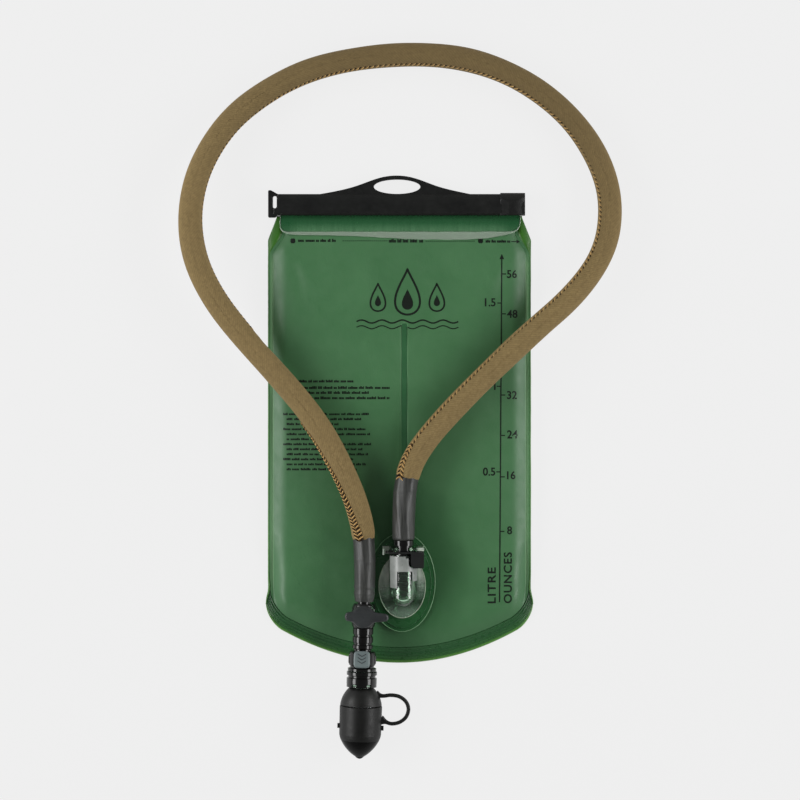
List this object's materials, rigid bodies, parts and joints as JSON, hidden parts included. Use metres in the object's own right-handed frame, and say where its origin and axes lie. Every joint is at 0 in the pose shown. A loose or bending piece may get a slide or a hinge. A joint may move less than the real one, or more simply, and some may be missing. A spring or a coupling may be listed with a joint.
{
  "type": "hydration bladder",
  "caption": "Flat film water reservoir with a slide seal and handle, a quick-release exit port, and a fabric-covered drink hose with a shut-off and a capped bite valve.",
  "frame": {"origin": "Centre of the reservoir's flat back, at the middle of the box of the reservoir and its slide seal without the drink hose.", "axes": "+Y runs up the reservoir from the rounded bottom to the handle, +X to its right seen from the front, +Z out of the printed front face."},
  "size_m": [0.3207, 0.5172, 0.0368],
  "materials": {
    "green_film": "satin",
    "clear_film": "gloss",
    "black_plastic": "satin",
    "clear_plastic": "gloss",
    "grey_plastic": "satin",
    "button_grey": "satin",
    "tan_fabric": "matte",
    "shrink_sleeve": "satin",
    "tube_clear": "gloss",
    "seal_rubber": "satin",
    "spring_steel": "satin",
    "silicone": "satin",
    "soft_black": "satin",
    "gloss_black": "gloss"
  },
  "bodies": {
    "reservoir": {"back_panel": "green_film", "front_panel": "green_film", "gusset_left": "green_film", "gusset_right": "green_film", "centre_baffle": "green_film", "bottom_hem": "green_film", "mouth_rail": "black_plastic", "mouth_flap": "clear_film", "port_flange": "green_film", "port_housing": "clear_plastic", "port_collar": "grey_plastic", "release_spring": "spring_steel"},
    "slide_seal": {"slider_bar": "black_plastic"},
    "latch": {"release_latch": "black_plastic"},
    "drink_hose": {"port_plug": "black_plastic", "plug_seals": "seal_rubber", "drink_tube": "tube_clear", "hose_cover": "tan_fabric", "plug_sleeve": "shrink_sleeve", "valve_sleeve": "shrink_sleeve", "valve_body": "black_plastic", "ribbed_barrel": "black_plastic", "coupling_socket": "black_plastic", "coupling_spring": "spring_steel"},
    "shut_off": {"valve_spool": "grey_plastic", "spool_seals": "seal_rubber", "valve_lever": "grey_plastic"},
    "coupling_release": {"coupling_button": "button_grey"},
    "coupling_half": {"coupling_insert": "black_plastic", "coupling_seal": "seal_rubber", "swivel_nut": "black_plastic"},
    "mouthpiece": {"swivel_stem": "black_plastic", "bite_valve": "silicone", "cover_collar": "black_plastic", "tether_strap": "soft_black"},
    "dust_cover": {"dust_cap": "soft_black", "cap_nose": "gloss_black", "tether_ring": "soft_black"}
  },
  "joints": [
    {"name": "slide_seal_pull", "type": "slide", "parent": "reservoir", "child": "slide_seal", "axis": [-1, 0, 0], "range_m": [0, 0.18]},
    {"name": "latch_press", "type": "slide", "parent": "reservoir", "child": "latch", "axis": [-1, 0, 0], "range_m": [0, 0.0015], "stiffness_N_per_m": 1200, "springref_m": -0.0005, "deforming": ["release_spring"]},
    {"name": "hose_release", "type": "slide", "parent": "reservoir", "child": "drink_hose", "axis": [0, 0.9976, 0.0698], "range_m": [0, 0.036]},
    {"name": "shut_off_turn", "type": "hinge", "parent": "drink_hose", "child": "shut_off", "pos_m": [-0.02582, -0.14139, 0.02187], "axis": [-0.0021, -0.0697, 0.9976], "range_deg": [0, 90]},
    {"name": "coupling_press", "type": "slide", "parent": "drink_hose", "child": "coupling_release", "axis": [0.0021, 0.0697, -0.9976], "range_m": [0, 0.0015], "stiffness_N_per_m": 1200, "springref_m": -0.0005, "deforming": ["coupling_spring"]},
    {"name": "mouthpiece_unplug", "type": "slide", "parent": "drink_hose", "child": "coupling_half", "axis": [-0.0296, -0.9971, -0.0698], "range_m": [0, 0.012]},
    {"name": "mouthpiece_swivel", "type": "hinge", "parent": "coupling_half", "child": "mouthpiece", "pos_m": [-0.02716, -0.18641, 0.01872], "axis": [-0.0296, -0.9971, -0.0698], "continuous": true},
    {"name": "cap_pull", "type": "slide", "parent": "mouthpiece", "child": "dust_cover", "axis": [-0.0296, -0.9971, -0.0698], "range_m": [0, 0.028], "deforming": ["tether_strap"]}
  ]
}
